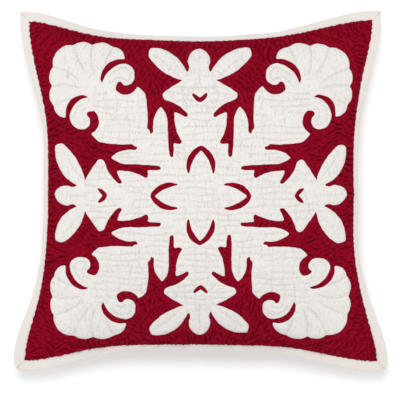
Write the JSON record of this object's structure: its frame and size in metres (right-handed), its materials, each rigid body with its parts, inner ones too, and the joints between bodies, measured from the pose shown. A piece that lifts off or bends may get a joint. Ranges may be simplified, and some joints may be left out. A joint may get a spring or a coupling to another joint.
{
  "type": "quilted square cushion with fold-and-cut applique",
  "caption": "Filled square cushion lying on its back, with a quilted front, a cut cloth applique of flowers, leaves and shells, and a mitred binding.",
  "frame": {"origin": "on the surface that the cushion rests on, under the middle of its bounding box", "axes": "+Z out of the quilted front, +Y towards the cushion's top edge, +X towards its right side as seen from the front"},
  "size_m": [0.4543, 0.4376, 0.118],
  "materials": {
    "red_cotton": "plain-woven deep red cotton, closely hand quilted, matt with a faint sheen",
    "white_cotton": "plain-woven off-white cotton, turned under and hand sewn along its cut edge, matt",
    "binding_cotton": "off-white cotton strip folded over the edge and mitred at the corners, matt"
  },
  "bodies": {
    "root": {"cushion": "red_cotton", "applique": "white_cotton", "binding": "binding_cotton"}
  },
  "joints": []
}
